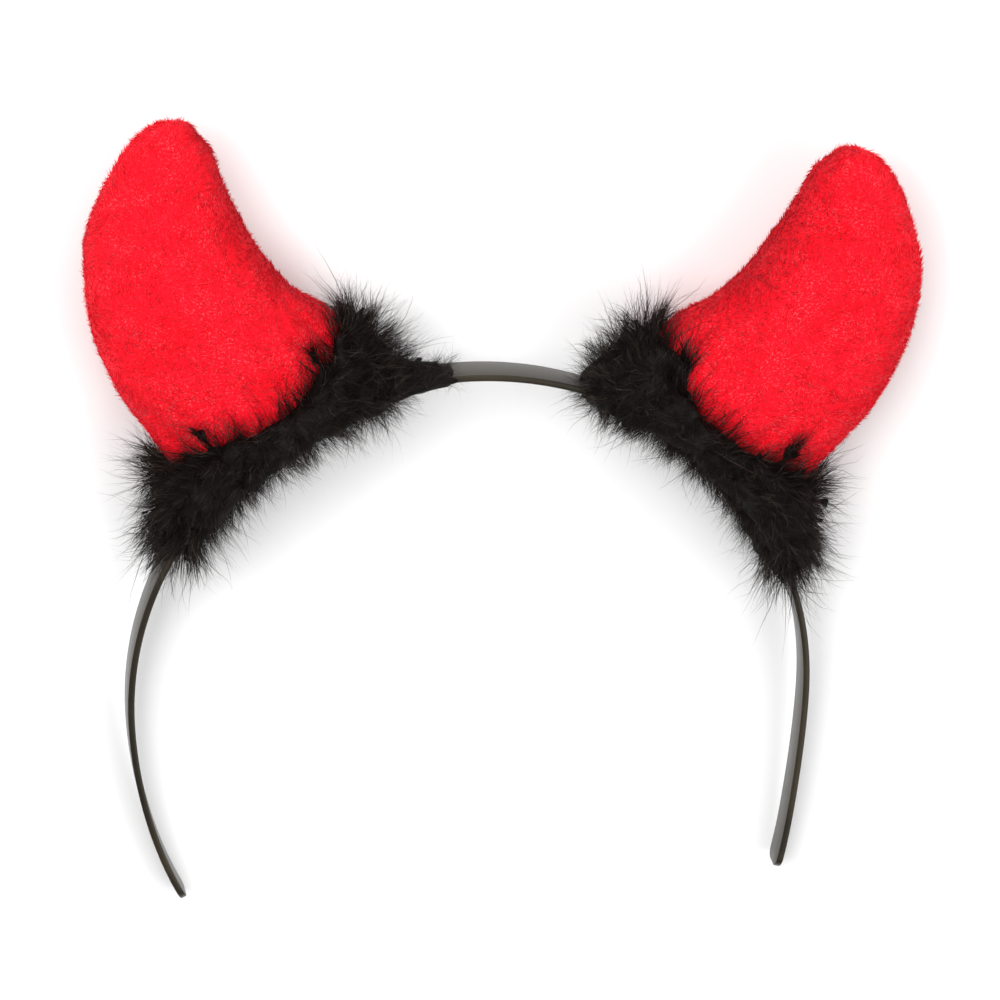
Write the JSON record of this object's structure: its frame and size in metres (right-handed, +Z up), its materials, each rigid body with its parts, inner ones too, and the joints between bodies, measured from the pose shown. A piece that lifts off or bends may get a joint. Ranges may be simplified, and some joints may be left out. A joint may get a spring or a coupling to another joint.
{
  "type": "devil horns headband",
  "caption": "Black plastic headband with two stuffed red plush devil horns, each in a collar of long black fur. Lies on its back.",
  "frame": {"origin": "middle of the bounding box, on the ground it lies on", "axes": "+Z up out of the front of the headband, +Y from the tips of the legs to the crown and the horns, +X to the right as seen from the front"},
  "size_m": [0.1722, 0.1688, 0.0351],
  "materials": {
    "dark_grey_plastic": "satin",
    "red_plush": "matte",
    "white_stuffing": "matte",
    "black_fur": "matte"
  },
  "bodies": {
    "root": {"headband": "dark_grey_plastic", "horn_front_panel_left": "red_plush", "horn_back_panel_left": "red_plush", "horn_stuffing_left": "white_stuffing", "fur_trim_left": "black_fur", "horn_front_panel_right": "red_plush", "horn_back_panel_right": "red_plush", "horn_stuffing_right": "white_stuffing", "fur_trim_right": "black_fur"}
  },
  "joints": []
}
